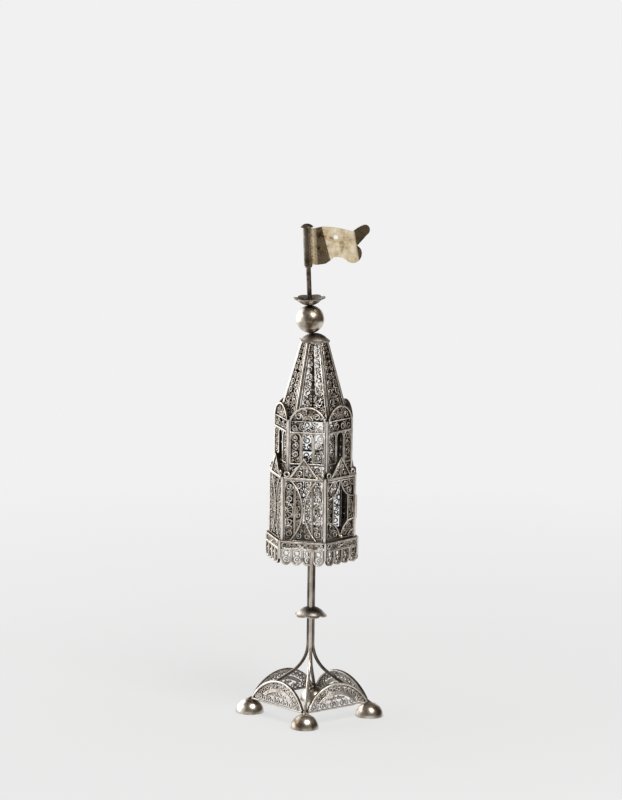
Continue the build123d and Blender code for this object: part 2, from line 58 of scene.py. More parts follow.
# adds one node to a tree, with its settings, socket values, links and colour stops
def addNode(tree, kind, values=None, links=None, stops=(), **settings):
    node = tree.nodes.new(kind)
    for name, value in settings.items():
        setattr(node, name, value)
    for key, value in (values or {}).items():
        node.inputs[key].default_value = value
    for key, source in (links or {}).items():
        tree.links.new(source, node.inputs[key])
    for i, (spot, colour) in enumerate(stops):
        point = node.color_ramp.elements[i] if i < 2 else node.color_ramp.elements.new(spot)
        point.position = spot
        point.color = hexColour(colour)
    return node


# a metal with patches of tarnish, their size in mm
def newMetal(name, patchSize, detail, broken):
    material = bpy.data.materials.new(name)
    material.use_nodes = True
    tree = material.node_tree
    tree.nodes.clear()
    place = addNode(tree, "ShaderNodeTexCoord").outputs["Object"]
    shader = addNode(tree, "ShaderNodeBsdfPrincipled", {"Metallic": 1.0})
    addNode(tree, "ShaderNodeOutputMaterial", links={"Surface": shader.outputs["BSDF"]})
    spread = {"Scale": 1 / (patchSize * mm), "Detail": detail, "Roughness": broken}
    patches = addNode(tree, "ShaderNodeTexNoise", spread, {"Vector": place})
    return material, tree, place, shader, patches.outputs["Fac"]


# colour, shine and relief: roughness goes from the first value to the second as the mask goes from 0 to 1
def finishMetal(tree, shader, colour, mask, roughness, height=None, depth=0.0, strength=0.0):
    tree.links.new(colour, shader.inputs["Base Color"])
    rough = addNode(tree, "ShaderNodeMapRange", {"To Min": roughness[0], "To Max": roughness[1]},
                    {"Value": mask})
    tree.links.new(rough.outputs["Result"], shader.inputs["Roughness"])
    if height is not None:
        bump = addNode(tree, "ShaderNodeBump", {"Strength": strength, "Distance": depth * mm},
                       {"Height": height})
        tree.links.new(bump.outputs["Normal"], shader.inputs["Normal"])


# soldered silver wire: frame wires are rubbed bright, fine scrolls are greyer; flanks and inner faces carry
# painted shade, darker in the tarnish patches
def filigreeSilver(name, fineTones, rubbedTones, flankShadeTones):
    material, tree, _, shader, patches = newMetal(name, patchSize=4, detail=3, broken=0.6)
    paintedLight = addNode(tree, "ShaderNodeAttribute", attribute_name="paintedLight").outputs["Fac"]
    along = addNode(tree, "ShaderNodeAttribute", attribute_name="along").outputs["Fac"]
    gauge = addNode(tree, "ShaderNodeAttribute", attribute_name="gauge").outputs["Fac"]
    heavy = addNode(tree, "ShaderNodeMapRange", {"From Min": 0.32 * mm, "From Max": 0.48 * mm},
                    {"Value": gauge})
    fine = addNode(tree, "ShaderNodeValToRGB", links={0: patches}, stops=zip((0.30, 0.48, 0.66), fineTones))
    rubbed = addNode(tree, "ShaderNodeValToRGB", links={0: patches},
                     stops=zip((0.26, 0.45, 0.62), rubbedTones))
    # flank tones are painted shade for the flanks and inner faces of the wire
    flankShade = addNode(tree, "ShaderNodeValToRGB", links={0: patches}, stops=zip((0.30, 0.62), flankShadeTones))
    top = addNode(tree, "ShaderNodeMix",
                  links={0: heavy.outputs[0], 6: fine.outputs[0], 7: rubbed.outputs[0]}, data_type="RGBA")
    # the per-face light share puts the top tones on outward faces and the painted shade on the rest
    tone = addNode(tree, "ShaderNodeMix", links={0: paintedLight, 6: flankShade.outputs[0], 7: top.outputs[2]},
                   data_type="RGBA")
    # the lay of the twisted wire, drawn at 0.5 mm because the real 0.2 mm would not show
    lay = addNode(tree, "ShaderNodeMath", {1: 2 * math.pi / (0.5 * mm)}, {0: along}, operation="MULTIPLY")
    twist = addNode(tree, "ShaderNodeMath", links={0: lay.outputs[0]}, operation="SINE")
    finishMetal(tree, shader, tone.outputs[2], paintedLight, (0.6, 0.36), twist.outputs[0], depth=0.08, strength=0.35)
    return material


# drawn silver wire of the posts and ribs: rubbed nearly white, with brown stains and streaks along its length
def wireSilver():
    material, tree, place, shader, patches = newMetal("drawnSilverWire", patchSize=7, detail=4, broken=0.6)
    streakSize = (1 / (0.4 * mm), 1 / (0.4 * mm), 1 / (9 * mm))
    stretch = addNode(tree, "ShaderNodeMapping", {"Scale": streakSize}, {"Vector": place})
    noise = addNode(tree, "ShaderNodeTexNoise", {"Scale": 1.0, "Detail": 2}, {"Vector": stretch.outputs[0]})
    streaks = noise.outputs["Fac"]
    stain = addNode(tree, "ShaderNodeValToRGB", links={0: patches},
                    stops=[(0.26, "#9a8e80"), (0.42, "#ddd5ca"), (0.62, "#f5f0e9")])
    grey = addNode(tree, "ShaderNodeValToRGB", links={0: streaks}, stops=[(0.3, "#8a8077"), (0.6, "#ffffff")])
    tone = addNode(tree, "ShaderNodeMix", {0: 0.3}, {6: stain.outputs[0], 7: grey.outputs[0]},
                   data_type="RGBA", blend_type="MULTIPLY")
    finishMetal(tree, shader, tone.outputs[2], streaks, (0.22, 0.34), streaks, depth=0.05, strength=0.25)
    return material


# smooth drawn rod of the stand: the one at the front is rubbed grey; the others take a nearly black copy as
# painted shade, with a shine
def rodSilver(name, tones, roughness):
    material, tree, _, shader, patches = newMetal(name, patchSize=9, detail=3, broken=0.55)
    tone = addNode(tree, "ShaderNodeValToRGB", links={0: patches}, stops=zip((0.30, 0.48, 0.66), tones))
    finishMetal(tree, shader, tone.outputs[0], patches, roughness)
    return material


# silver raised over a form and rubbed by hands: soft ripples, warm brown stains and a clear shine
def raisedSilver():
    material, tree, place, shader, patches = newMetal("polishedRaisedSilver", patchSize=6, detail=4,
                                                     broken=0.55)
    tone = addNode(tree, "ShaderNodeValToRGB", links={0: patches},
                   stops=[(0.32, "#5a4a3a"), (0.45, "#aca294"), (0.62, "#d8d0c5")])
    dents = addNode(tree, "ShaderNodeTexNoise", {"Scale": 1 / (4 * mm), "Detail": 1}, {"Vector": place})
    finishMetal(tree, shader, tone.outputs[0], patches, (0.36, 0.22), dents.outputs["Fac"], depth=0.25,
                strength=0.3)
    return material


# petals cut from raised silver: tarnish lies in the middle, the rims are worn bright by hands
def petalSilver(name, node):
    material, tree, place, shader, patches = newMetal(name, patchSize=4, detail=4, broken=0.6)
    low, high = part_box(node)
    centre = ((low[0] + high[0]) / 2, (low[1] + high[1]) / 2, 0)
    span = (high[0] - low[0]) / 2
    crown = addNode(tree, "ShaderNodeValToRGB", links={0: patches},
                    stops=[(0.30, "#2b2621"), (0.48, "#4f4841"), (0.66, "#7a7269")])
    rim = addNode(tree, "ShaderNodeValToRGB", links={0: patches},
                  stops=[(0.30, "#776e63"), (0.48, "#a9a095"), (0.66, "#d2cbc1")])
    fromStem = addNode(tree, "ShaderNodeVectorMath", {1: centre}, {0: place}, operation="SUBTRACT")
    level = addNode(tree, "ShaderNodeVectorMath", {1: (1, 1, 0)}, {0: fromStem.outputs[0]},
                    operation="MULTIPLY")
    reach = addNode(tree, "ShaderNodeVectorMath", links={0: level.outputs[0]}, operation="LENGTH")
    worn = addNode(tree, "ShaderNodeMapRange", {"From Min": 0.55 * span, "From Max": 0.98 * span},
                   {"Value": reach.outputs["Value"]}, interpolation_type="SMOOTHSTEP")
    tone = addNode(tree, "ShaderNodeMix",
                   links={0: worn.outputs["Result"], 6: crown.outputs[0], 7: rim.outputs[0]},
                   data_type="RGBA")
    finishMetal(tree, shader, tone.outputs[2], patches, (0.5, 0.36), patches, depth=0.2, strength=0.3)
    return material


# plain silver sheet left to tarnish: dark brown grey, with a rubbed bloom that catches the light
def darkSilver():
    material, tree, _, shader, patches = newMetal("blackenedSilverSheet", patchSize=4, detail=4, broken=0.65)
    tone = addNode(tree, "ShaderNodeValToRGB", links={0: patches},
                   stops=[(0.32, "#2e2721"), (0.52, "#5c5248"), (0.70, "#8f8477")])
    finishMetal(tree, shader, tone.outputs[0], patches, (0.5, 0.3), patches, depth=0.1, strength=0.25)
    return material


# fire gilding on sheet silver: pale satin gold, hammered a little, brown where it is worn
def giltSilver(name, rolled=None):
    material, tree, place, shader, patches = newMetal(name, patchSize=5, detail=5, broken=0.65)
    tone = addNode(tree, "ShaderNodeValToRGB", links={0: patches},
                   stops=[(0.33, "#6b5233"), (0.46, "#d6c29e"), (0.64, "#f3e7cd")])
    dents = addNode(tree, "ShaderNodeTexNoise", {"Scale": 1 / (1.6 * mm), "Detail": 2}, {"Vector": place})
    colour, height = tone.outputs[0], dents.outputs["Fac"]
    if rolled:
        # round the mast the roll is smooth and painted dark as shade, but for the side where the sheet leaves
        # it, which keeps its gold
        mast, axis = Vector(joints["flag_turn"]["pos_m"]), Vector(joints["flag_turn"]["axis"]).normalized()
        low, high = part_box(rolled)
        towards = (Vector(low) + Vector(high)) / 2 - mast
        towards -= axis * towards.dot(axis)
        fromMast = addNode(tree, "ShaderNodeVectorMath", {1: mast}, {0: place}, operation="SUBTRACT")
        reach = addNode(tree, "ShaderNodeVectorMath", {1: towards.normalized()}, {0: fromMast.outputs[0]},
                        operation="DOT_PRODUCT")
        kept = addNode(tree, "ShaderNodeMapRange", {"From Min": 0.2 * mm, "From Max": 1.0 * mm},
                       {"Value": reach.outputs["Value"]})
        # painted shade for the roll round the mast
        rollShade = addNode(tree, "ShaderNodeValToRGB", links={0: patches},
                       stops=[(0.32, "#39332c"), (0.60, "#766d61")])
        coat = addNode(tree, "ShaderNodeMix", links={0: kept.outputs[0], 6: rollShade.outputs[0], 7: colour},
                       data_type="RGBA")
        hammered = addNode(tree, "ShaderNodeMath", links={0: height, 1: kept.outputs[0]},
                           operation="MULTIPLY")
        colour, height = coat.outputs[2], hammered.outputs[0]
    finishMetal(tree, shader, colour, patches, (0.34, 0.18), height, depth=0.12, strength=0.3)
    return material


filigree = filigreeSilver("tarnishedShadedSilverFiligree", ("#5f5347", "#9a8e80", "#c6bcaf"),
                          ("#998d7f", "#ccc3b7", "#e8e2d9"), ("#17120d", "#493e33"))
# a paler copy of the filigree finish for the base, with lighter painted shade on its flanks and inner faces
paleFiligree = filigreeSilver("paleSilverFiligree", ("#7d7164", "#b5aa9c", "#dbd2c7"),
                         ("#b3a89a", "#ddd5ca", "#f2ede5"), ("#2a231c", "#625649"))
wire = wireSilver()
frontRod = rodSilver("rubbedSilverRod", ("#92887c", "#beb4a8", "#ddd5cb"), (0.4, 0.3))
# nearly black copy of the rod finish: painted shade on the rods beside and behind the front one
shadedSideRod = rodSilver("shadedSilverRod", ("#332d28", "#5b534b", "#8a8177"), (0.25, 0.15))
polished = raisedSilver()
knopPetals = petalSilver("wornSilverKnop", "stem_knop")
capPetals = petalSilver("wornSilverCap", "spire_cap")
calyxPetals = petalSilver("wornSilverCalyx", "calyx")
dark = darkSilver()
flagGilt = giltSilver("wornGiltSheetShadedRoll", "flag")
knobGilt = giltSilver("wornGiltBead")
print("materials made")


# wires are drawn in the plane of their panel, in mm; each is its points, its gauge and whether it is closed
def arc(cx, cy, radius, start, end, steps=16):
    turns = np.radians(np.linspace(start, end, steps + 1))
    return np.column_stack((cx + radius * np.cos(turns), cy + radius * np.sin(turns)))


def arcThrough(a, b, c, steps):
    (ax, ay), (bx, by), (cx, cy) = a, b, c
    d = 2 * (ax * (by - cy) + bx * (cy - ay) + cx * (ay - by))
    sa, sb, sc = ax * ax + ay * ay, bx * bx + by * by, cx * cx + cy * cy
    ux = (sa * (by - cy) + sb * (cy - ay) + sc * (ay - by)) / d
    uy = (sa * (cx - bx) + sb * (ax - cx) + sc * (bx - ax)) / d
    start, mid, end = [math.degrees(math.atan2(y - uy, x - ux)) for x, y in (a, b, c)]
    sweep = (end - start) % 360
    if (mid - start) % 360 > sweep:
        sweep -= 360
    return arc(ux, uy, math.hypot(ax - ux, ay - uy), start, start + sweep, steps)


# a wire wound in from its soldered outer end to about a third of its radius
def curl(cx, cy, radius, start, hand, turns=1.4, steps=15):
    t = np.linspace(0, 1, steps + 1)
    reach = radius * (1 - 0.68 * t ** 1.1)
    angle = np.radians(start) + hand * turns * 2 * math.pi * t
    return np.column_stack((cx + reach * np.cos(angle), cy + reach * np.sin(angle)))


def straight(x1, y1, x2, y2, gauge):
    return (np.array([(x1, y1), (x2, y2)], float), gauge, False)


def loop(points, gauge):
    return (np.array(points, float), gauge, True)


def hoop(cx, cy, radius, gauge, steps=16):
    return (arc(cx, cy, radius, 0, 360, steps)[:-1], gauge, True)


def border(edge, low, high, gauge):
    return loop([(-edge, low), (edge, low), (edge, high), (-edge, high)], gauge)


def spokes(cx, cy, hub, reach, turns, gauge):
    wires = []
    for turn in turns:
        east, north = math.cos(math.radians(turn)), math.sin(math.radians(turn))
        wires.append(straight(cx + hub * east, cy + hub * north, cx + reach * east, cy + reach * north,
                              gauge))
    return wires


def mirrored(wires):
    return wires + [(points * (-1, 1), gauge, closed) for points, gauge, closed in wires]


# rounds packed into a cell, the large ones first, each touching the edge or a neighbour
def packRounds(outline, largest, smallest, taken, step=0.14):
    corners = np.array(outline, float)
    low, high = corners.min(0), corners.max(0)
    gx, gy = np.meshgrid(np.arange(low[0], high[0], step), np.arange(low[1], high[1], step))
    x, y = gx.ravel(), gy.ravel()
    inside = np.zeros(len(x), bool)
    room = np.full(len(x), 1e9)
    for (px, py), (qx, qy) in zip(corners, np.roll(corners, -1, 0)):
        if py != qy:
            inside ^= ((py > y) != (qy > y)) & (x < (qx - px) * (y - py) / (qy - py) + px)
        dx, dy = qx - px, qy - py
        t = np.clip(((x - px) * dx + (y - py) * dy) / (dx * dx + dy * dy + 1e-9), 0, 1)
        room = np.minimum(room, np.hypot(x - px - t * dx, y - py - t * dy))
    room[~inside] = -1
    for cx, cy, radius in taken:
        room = np.minimum(room, np.hypot(x - cx, y - cy) - radius)
    rounds = []
    while len(room):
        wide = np.where(room >= largest)[0]
        best = wide[room[wide].argmin()] if len(wide) else room.argmax()
        size = min(room[best], largest)
        if size < smallest:
            break
        rounds.append((x[best], y[best], size))
        room = np.minimum(room, np.hypot(x - x[best], y - y[best]) - size)
    return rounds


curlKinds = ((1.2, 1.4, 15), (0.75, 1.25, 11), (0.0, 1.05, 7))  # above this radius: turns, steps


# curls in a cell: every round gets a scroll that starts where it meets its nearest neighbour
def curlCell(outline, sizes, gauge, taken=()):
    wires = []
    known = list(taken)
    for i, (cx, cy, radius) in enumerate(packRounds(outline, *sizes, taken)):
        start = 90
        if known:
            nearest = min(known, key=lambda k: abs(math.hypot(k[0] - cx, k[1] - cy) - k[2] - radius))
            start = math.degrees(math.atan2(nearest[1] - cy, nearest[0] - cx))
        known.append((cx, cy, radius))
        turns, steps = next(kind[1:] for kind in curlKinds if radius > kind[0])
        hand = 1 if i % 2 else -1
        thick = gauge * (0.7 + 0.25 * radius)  # large scrolls are of heavier wire
        wires.append((curl(cx, cy, radius - thick * 0.3, start, hand, turns, steps), thick, False))
    return wires


# the tree that bends wire and sets the panels round
def wirePanelTree():
    tree = bpy.data.node_groups.new("wirePanelRing", "GeometryNodeTree")
    sockets = (("Geometry", "Geometry"), ("Wire Depth", "Float"), ("Inner Painted Light", "Float"), ("Panels", "Int"),
               ("First Side", "Int"), ("Sides", "Int"), ("Turn", "Float"), ("Reach", "Float"),
               ("Rise", "Float"), ("Lean", "Float"), ("Finish", "Material"))
    for label, kind in sockets:
        tree.interface.new_socket(label, in_out="INPUT", socket_type="NodeSocket" + kind)
    tree.interface.new_socket("Geometry", in_out="OUTPUT", socket_type="NodeSocketGeometry")
    given = addNode(tree, "NodeGroupInput").outputs
    gauge = addNode(tree, "GeometryNodeInputNamedAttribute", {"Name": "gauge"}, data_type="FLOAT")
    curves = addNode(tree, "GeometryNodeMeshToCurve", links={"Mesh": given["Geometry"]})
    upright = addNode(tree, "GeometryNodeSetCurveNormal", links={"Curve": curves.outputs[0]}, mode="Z_UP")
    spline = addNode(tree, "GeometryNodeSplineParameter")
    measured = addNode(tree, "GeometryNodeStoreNamedAttribute", {"Name": "along"},
                       {"Geometry": upright.outputs[0], "Value": spline.outputs["Length"]},
                       data_type="FLOAT", domain="POINT")
    section = addNode(tree, "GeometryNodeCurvePrimitiveQuadrilateral", {"Width": 1.0},
                      {"Height": given["Wire Depth"]})
    wires = addNode(tree, "GeometryNodeCurveToMesh", {"Fill Caps": True},
                    {"Curve": measured.outputs[0], "Profile Curve": section.outputs[0],
                     "Scale": gauge.outputs[0]})
    # painted light share: 1 on the outer faces of the wires, 0 on their flanks, which get painted shade, and
    # a set part on the inner faces, painted as shaded inside the piece
    normal = addNode(tree, "ShaderNodeSeparateXYZ",
                     links={0: addNode(tree, "GeometryNodeInputNormal").outputs["Normal"]})
    behind = addNode(tree, "ShaderNodeMath", {1: -1.0}, {0: normal.outputs["Z"]}, operation="MULTIPLY")
    inner = addNode(tree, "ShaderNodeMath", links={0: behind.outputs[0], 1: given["Inner Painted Light"]},
                    operation="MULTIPLY")
    facing = addNode(tree, "ShaderNodeMath", links={0: normal.outputs["Z"], 1: inner.outputs[0]},
                     operation="MAXIMUM")
    lightStored = addNode(tree, "GeometryNodeStoreNamedAttribute", {"Name": "paintedLight"},
                     {"Geometry": wires.outputs[0], "Value": facing.outputs[0]},
                     data_type="FLOAT", domain="FACE")
    soft = addNode(tree, "GeometryNodeSetShadeSmooth", {"Shade Smooth": True}, {0: lightStored.outputs[0]},
                   domain="FACE")
    # places of the panels round the axis
    index = addNode(tree, "GeometryNodeInputIndex").outputs[0]
    side = addNode(tree, "ShaderNodeMath", links={0: index, 1: given["First Side"]}, operation="ADD")
    step = addNode(tree, "ShaderNodeMath", {0: 2 * math.pi}, {1: given["Sides"]}, operation="DIVIDE")
    angle = addNode(tree, "ShaderNodeMath",
                    links={0: side.outputs[0], 1: step.outputs[0], 2: given["Turn"]},
                    operation="MULTIPLY_ADD")
    east = addNode(tree, "ShaderNodeMath", links={0: angle.outputs[0]}, operation="SINE")
    north = addNode(tree, "ShaderNodeMath", links={0: angle.outputs[0]}, operation="COSINE")
    inward = addNode(tree, "ShaderNodeMath", {1: -1.0}, {0: given["Reach"]}, operation="MULTIPLY")
    px = addNode(tree, "ShaderNodeMath", links={0: east.outputs[0], 1: given["Reach"]}, operation="MULTIPLY")
    py = addNode(tree, "ShaderNodeMath", links={0: north.outputs[0], 1: inward.outputs[0]},
                 operation="MULTIPLY")
    spot = addNode(tree, "ShaderNodeCombineXYZ",
                   links={"X": px.outputs[0], "Y": py.outputs[0], "Z": given["Rise"]})
    stand = addNode(tree, "ShaderNodeMath", {0: math.pi / 2}, {1: given["Lean"]}, operation="SUBTRACT")
    euler = addNode(tree, "ShaderNodeCombineXYZ", links={"X": stand.outputs[0], "Z": angle.outputs[0]})
    heading = addNode(tree, "FunctionNodeEulerToRotation", links={0: euler.outputs[0]})
    points = addNode(tree, "GeometryNodePoints",
                     links={"Count": given["Panels"], "Position": spot.outputs[0]})
    placed = addNode(tree, "GeometryNodeInstanceOnPoints",
                     links={"Points": points.outputs[0], "Instance": soft.outputs[0],
                            "Rotation": heading.outputs[0]})
    real = addNode(tree, "GeometryNodeRealizeInstances", links={"Geometry": placed.outputs[0]})
    done = addNode(tree, "GeometryNodeSetMaterial",
                   links={"Geometry": real.outputs[0], "Material": given["Finish"]})
    addNode(tree, "NodeGroupOutput", links={0: done.outputs[0]})
    return tree


panelTree = wirePanelTree()


# the tree's inputs; wire depth is in gauges, inner sets how much painted light the inner faces get, the rest
# being painted shade
def panelSettings(panels, sides, turn, reach, rise, lean=0.0, first=0, depth=1.8, inner=0.12,
                  finish=filigree):
    return {"Wire Depth": depth, "Inner Painted Light": inner, "Panels": panels, "First Side": first, "Sides": sides,
            "Turn": math.radians(turn), "Reach": reach * mm, "Rise": rise * mm, "Lean": math.radians(lean),
            "Finish": finish}


# wires drawn in mm become loose edges, the tree makes the panels, and the result is kept as a plain mesh
def makePanels(name, wires, settings):
    verts, edges, gauges = [], [], []
    for points, gauge, closed in wires:
        first = len(verts)
        verts += [(x * mm, y * mm, 0.0) for x, y in points]
        gauges += [gauge * mm] * len(points)
        edges += [(first + i, first + i + 1) for i in range(len(points) - 1)]
        if closed:
            edges.append((len(verts) - 1, first))
    mesh = bpy.data.meshes.new(name + "Wires")
    mesh.from_pydata(verts, edges, [])
    mesh.attributes.new("gauge", "FLOAT", "POINT").data.foreach_set("value", gauges)
    piece = bpy.data.objects.new(name, mesh)
    bpy.context.collection.objects.link(piece)
    modifier = piece.modifiers.new("panels", "NODES")
    modifier.node_group = panelTree
    for item in panelTree.interface.items_tree:
        if item.in_out == "INPUT" and item.name in settings:
            modifier[item.identifier] = settings[item.name]
    graph = bpy.context.evaluated_depsgraph_get()
    made = bpy.data.meshes.new_from_object(piece.evaluated_get(graph), depsgraph=graph)
    made.name = name
    piece.modifiers.clear()
    piece.data = made
    print(name, "wires", len(wires), "faces", len(made.polygons))
    return piece


flat30 = math.cos(math.radians(30))  # from a hexagon's corner radius to its sides

# square base: four arched panels; curls are given as the largest and smallest radius
basePanels = {"spacing": 37.4, "gap": 1.75, "rise": 11.2, "endRise": 1.5, "lean": 8.0, "level": 6.06,
              "wireDepth": 1.35, "innerPaintedLight": 0.6, "rim": 0.95, "foot": 0.7, "footInset": 0.4,
              "footLevel": 0.45, "fine": 0.42, "scrolls": 13, "scrollReach": 1.25, "scrollRoom": 1.35,
              "endTurn": 6, "bandWires": 4, "band": 0.4, "bandPitch": 0.42, "bandRoom": 1.5, "bandFoot": 3.4,
              "rings": 11, "ringEnds": 2.4, "ringFoot": 0.85, "ringClear": 0.12, "curls": (1.0, 0.45),
              "curlFoot": 0.9}


def baseWires():
    p = basePanels
    half = p["spacing"] / 2 - p["gap"]
    climb = p["rise"] - p["endRise"]
    bend = (half ** 2 + climb ** 2) / (2 * climb)
    cy = p["rise"] - bend
    ends = math.degrees(math.acos(half / bend))
    rim = arc(0, cy, bend - p["rim"] / 2, ends, 180 - ends, 36)
    side, foot = half - p["footInset"], p["footLevel"]
    wires = [loop(list(rim) + [(-side, foot), (side, foot)], p["rim"])]
    wires.append(straight(-side, foot, side, foot, p["foot"]))
    # row of scrolls under the arch
    row = bend - p["rim"] - p["scrollRoom"]
    for i in range(p["scrolls"]):
        turn = 90 + (i - (p["scrolls"] - 1) / 2) * (180 - 2 * ends - p["endTurn"]) / p["scrolls"]
        x, y = row * math.cos(math.radians(turn)), cy + row * math.sin(math.radians(turn))
        hand = 1 if turn > 90 else -1
        wires.append((curl(x, y, p["scrollReach"], turn - 90 * hand, hand, steps=14), p["fine"], False))
    # plain band of close wires
    for i in range(p["bandWires"]):
        reach = row - p["bandRoom"] - p["bandPitch"] * i
        low = math.degrees(math.asin((p["bandFoot"] - cy) / reach))
        wires.append((arc(0, cy, reach, low, 180 - low, 28), p["band"], False))
    # row of rings along the foot
    size = (2 * half - p["ringEnds"]) / p["rings"] / 2
    for i in range(p["rings"]):
        x, y = (2 * i + 1 - p["rings"]) * size, p["ringFoot"] + size
        hand = 1 if i % 2 else -1
        wires.append((curl(x, y, size - p["ringClear"], 90, hand, steps=14), p["fine"], False))
    # small curls between the rings and the band
    inner = row - p["bandRoom"] - p["bandPitch"] * p["bandWires"]
    foot = p["curlFoot"] + 2 * size
    low = math.degrees(math.asin((foot - cy) / inner))
    cell = list(arc(0, cy, inner, low, 90, 14)) + [(0, foot)]
    return wires + mirrored(curlCell(cell, p["curls"], p["fine"]))


baseFiligree = makePanels("baseFiligree", baseWires(),
                          panelSettings(4, 4, 0, basePanels["spacing"] / 2, basePanels["level"],
                                        basePanels["lean"], depth=basePanels["wireDepth"],
                                        inner=basePanels["innerPaintedLight"], finish=paleFiligree))

# skirt: scroll band with a fringe of loops; the rings in a loop are level, radius and gauge
skirtPanels = {"radius": 20.5, "turn": 6.0, "width": 19.4, "band": 4.1, "bottom": 77.3, "frame": 0.62,
               "fine": 0.38, "slot": 0.5, "slotEnds": 0.55, "slotRims": 0.75, "curls": (1.24, 0.4),
               "curlEnds": (0.7, 1.4), "curlRims": 0.8, "sash": 0.5, "sashHalf": 2.6, "sashRims": 0.9,
               "loops": 4, "loop": 0.6, "length": 6.5, "loopClear": 0.32, "loopRoot": 0.3,
               "upperRing": (-1.2, 1.15, 0.42), "lowerRing": (-4.05, 1.65, 0.45), "lowerCurl": (1.0, 0.36)}


def skirtWires():
    p = skirtPanels
    half, band, rail = p["width"] / 2, p["band"], p["frame"] / 2
    wires = [straight(-half, level, half, level, p["frame"]) for level in (band - rail, rail)]
    bend = band / 2 - p["slotRims"]
    slot = list(arc(half - p["slotEnds"] - bend, band / 2, bend, -90, 90, 8))
    slot += list(arc(-half + p["slotEnds"] + bend, band / 2, bend, 90, 270, 8))
    wires.append(loop(slot, p["slot"]))
    low, high = p["curlRims"], band - p["curlRims"]
    tip, shoulder = half - p["curlEnds"][0], half - p["curlEnds"][1]
    cell = [(0, low), (shoulder, low), (tip, band / 2), (shoulder, high), (0, high)]
    wires += mirrored(curlCell(cell, p["curls"], p["fine"]))
    wires.append(straight(-p["sashHalf"], p["sashRims"], p["sashHalf"], band - p["sashRims"], p["sash"]))
    # fringe
    pitch = p["width"] / p["loops"]
    bend = pitch / 2 - p["loopClear"]
    drop = p["length"] - pitch / 2
    for i in range(p["loops"]):
        x = (i - (p["loops"] - 1) / 2) * pitch
        hang = list(arc(x, -drop, bend, 180, 360, 12))
        hang = [(x - bend, p["loopRoot"])] + hang + [(x + bend, p["loopRoot"])]
        wires.append((np.array(hang), p["loop"], False))
        wires.append(hoop(x, *p["upperRing"], 12))
        wires.append(hoop(x, *p["lowerRing"], 14))
        reach, gauge = p["lowerCurl"]
        wires.append((curl(x, p["lowerRing"][0], reach, 270, 1, 1.2, 10), gauge, False))
    return wires


skirtFiligree = makePanels("skirtFiligree", skirtWires(),
                           panelSettings(6, 6, skirtPanels["turn"], skirtPanels["radius"] * flat30,
                                         skirtPanels["bottom"]))

# lower storey: five walls of bent arcs, fans and curls
wallPanels = {"radius": 19.0, "turn": 6.0, "width": 17.7, "height": 27.5, "bottom": 81.2, "frame": 0.55,
              "inset": 0.3, "arcs": 0.6, "arcTop": 5.6, "arcEnd": 0.6, "waist": 0.45, "bar": 3.75,
              "barGauges": (0.45, 0.38), "barPitch": 0.55, "barOver": 0.6, "fan": 3.6, "fanGauge": 0.45,
              "hub": 1.1, "hubGauge": 0.4, "spokes": 7, "spokePitch": 26, "spoke": 0.36, "fine": 0.38,
              "innerCurls": (1.55, 0.42), "crescentCurls": (1.45, 0.42), "outerCurls": (1.7, 0.42),
              "clear": 0.3, "rims": 0.8, "axisClear": 0.2, "barClear": 0.8, "arcClear": 0.4}


def wallWires():
    p = wallPanels
    tall, mid = p["height"], p["height"] / 2
    edge = p["width"] / 2 - p["frame"] / 2
    wires = [border(edge, p["inset"], tall - p["inset"], p["frame"])]
    bow = arcThrough((p["arcTop"], p["arcEnd"]), (p["waist"], mid), (p["arcTop"], tall - p["arcEnd"]), 32)
    part = [(bow, p["arcs"], False)]
    crossing = [i for i, (x, y) in enumerate(bow) if x < p["bar"]]
    low, high = bow[crossing[0]][1], bow[crossing[-1]][1]
    part.append(straight(p["bar"], low, p["bar"], high, p["barGauges"][0]))
    beside = p["bar"] + p["barPitch"]
    part.append(straight(beside, low - p["barOver"], beside, high + p["barOver"], p["barGauges"][1]))
    # fan of spokes on the side frame
    root = edge - p["inset"]
    part.append((arc(root, mid, p["fan"], 90, 270, 14), p["fanGauge"], False))
    part.append((arc(root, mid, p["hub"], 90, 270, 8), p["hubGauge"], False))
    turns = [180 + p["spokePitch"] * (i - (p["spokes"] - 1) / 2) for i in range(p["spokes"])]
    part += spokes(root, mid, p["hub"], p["fan"], turns, p["spoke"])
    # curls: between the arcs, beside them and round the fan
    foot, head, clear = p["rims"], tall - p["rims"], p["clear"]
    inner = [(p["axisClear"], foot)] + [(x - clear, y) for x, y in bow] + [(p["axisClear"], head)]
    part += curlCell(inner, p["innerCurls"], p["fine"])
    crescent = [(x + clear, y) for x, y in bow[crossing[0]:crossing[-1] + 1]]
    part += curlCell(crescent, p["crescentCurls"], p["fine"])
    near, corner, far = p["bar"] + p["barClear"], p["arcTop"] + p["arcClear"], edge - clear
    outer = [(near, low), (corner, foot), (far, foot), (far, head), (corner, head), (near, high)]
    part += curlCell(outer, p["outerCurls"], p["fine"], [(root, mid, p["fan"])])
    return wires + mirrored(part)


wallFiligree = makePanels("wallFiligree", wallWires(),
                          panelSettings(5, 6, wallPanels["turn"], wallPanels["radius"] * flat30,
                                        wallPanels["bottom"], first=1))

# door leaf: four quarter fans round an open middle
doorPanel = {"half": 8.65, "height": 26.6, "bottom": 81.8, "innerPaintedLight": 0.4, "frame": 0.6, "inset": 0.4,
             "bow": 8.25, "bowGauge": 0.65, "fan": 3.3, "fanGauge": 0.45, "fanClear": 0.1, "hub": 1.0,
             "spokeTurns": (20, 45, 70), "spoke": 0.36, "bar": 4.6, "barGauge": 0.7, "fine": 0.38,
             "fanCurls": (1.75, 0.42), "rims": 0.9, "tip": 1.4, "shrink": 0.95, "stripCurls": (1.45, 0.42),
             "stripClear": 0.4, "stripEnds": (0.7, 0.5)}


